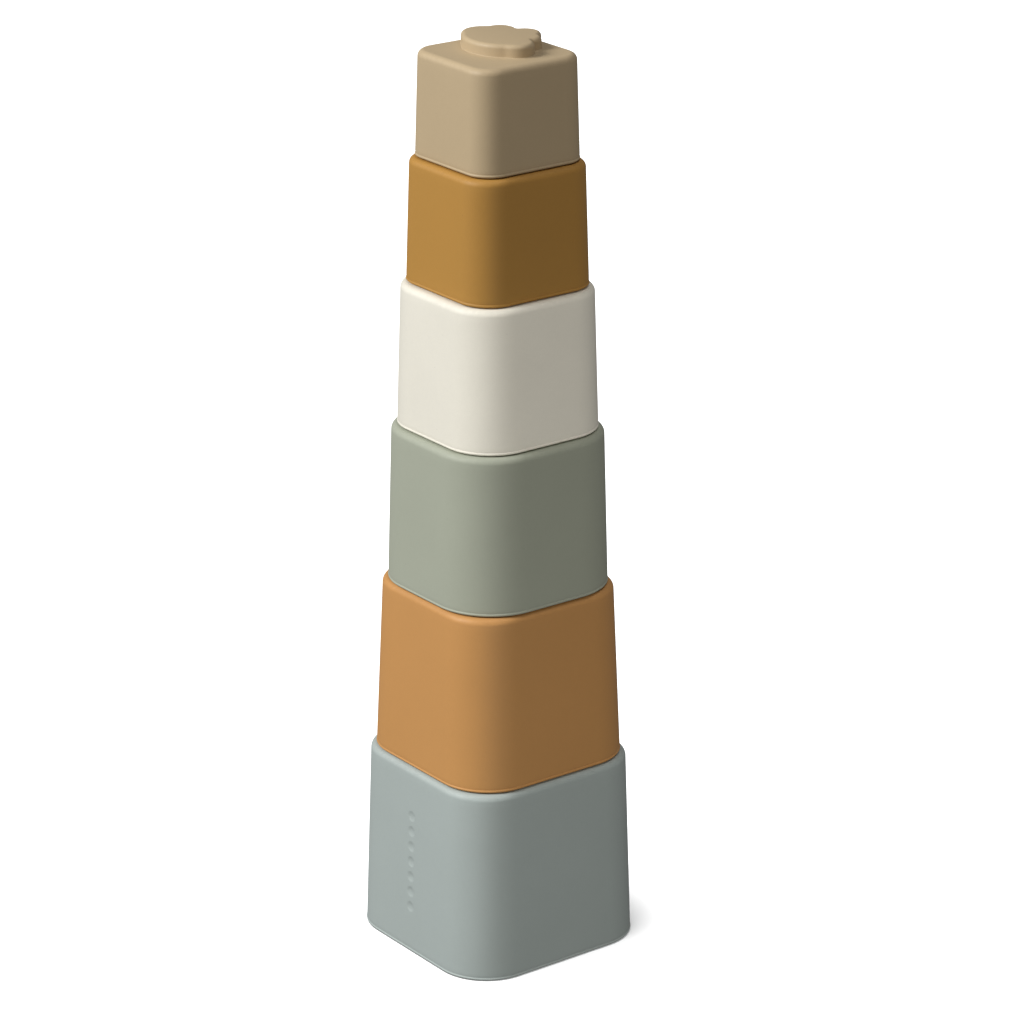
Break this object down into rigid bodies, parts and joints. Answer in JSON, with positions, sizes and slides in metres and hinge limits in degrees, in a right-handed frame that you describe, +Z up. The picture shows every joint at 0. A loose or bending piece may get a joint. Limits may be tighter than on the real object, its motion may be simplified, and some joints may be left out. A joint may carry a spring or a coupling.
{
  "type": "stacking cup tower",
  "caption": "Tower of square silicone stacking cups with rounded corners, each standing rim down on the one below and lifting straight off.",
  "frame": {"origin": "centre of the base cup's rim, on the surface that the tower stands on", "axes": "+Z up along the tower's axis; X and Y are square to the flat sides of the cups"},
  "size_m": [0.09, 0.09, 0.372],
  "materials": {
    "mist_blue_silicone": "matte",
    "apricot_silicone": "matte",
    "sage_silicone": "matte",
    "cream_silicone": "matte",
    "mustard_silicone": "matte",
    "sand_silicone": "matte"
  },
  "bodies": {
    "base_cup": {"base_cup": "mist_blue_silicone"},
    "second_cup": {"second_cup": "apricot_silicone"},
    "third_cup": {"third_cup": "sage_silicone"},
    "fourth_cup": {"fourth_cup": "cream_silicone"},
    "fifth_cup": {"fifth_cup": "mustard_silicone"},
    "top_cup": {"top_cup": "sand_silicone"}
  },
  "joints": [
    {"name": "second_cup_lift", "type": "slide", "parent": "base_cup", "child": "second_cup", "axis": [0, 0, 1], "range_m": [0, 0.06]},
    {"name": "third_cup_lift", "type": "slide", "parent": "second_cup", "child": "third_cup", "axis": [0, 0, 1], "range_m": [0, 0.06]},
    {"name": "fourth_cup_lift", "type": "slide", "parent": "third_cup", "child": "fourth_cup", "axis": [0, 0, 1], "range_m": [0, 0.06]},
    {"name": "fifth_cup_lift", "type": "slide", "parent": "fourth_cup", "child": "fifth_cup", "axis": [0, 0, 1], "range_m": [0, 0.06]},
    {"name": "top_cup_lift", "type": "slide", "parent": "fifth_cup", "child": "top_cup", "axis": [0, 0, 1], "range_m": [0, 0.06]}
  ]
}
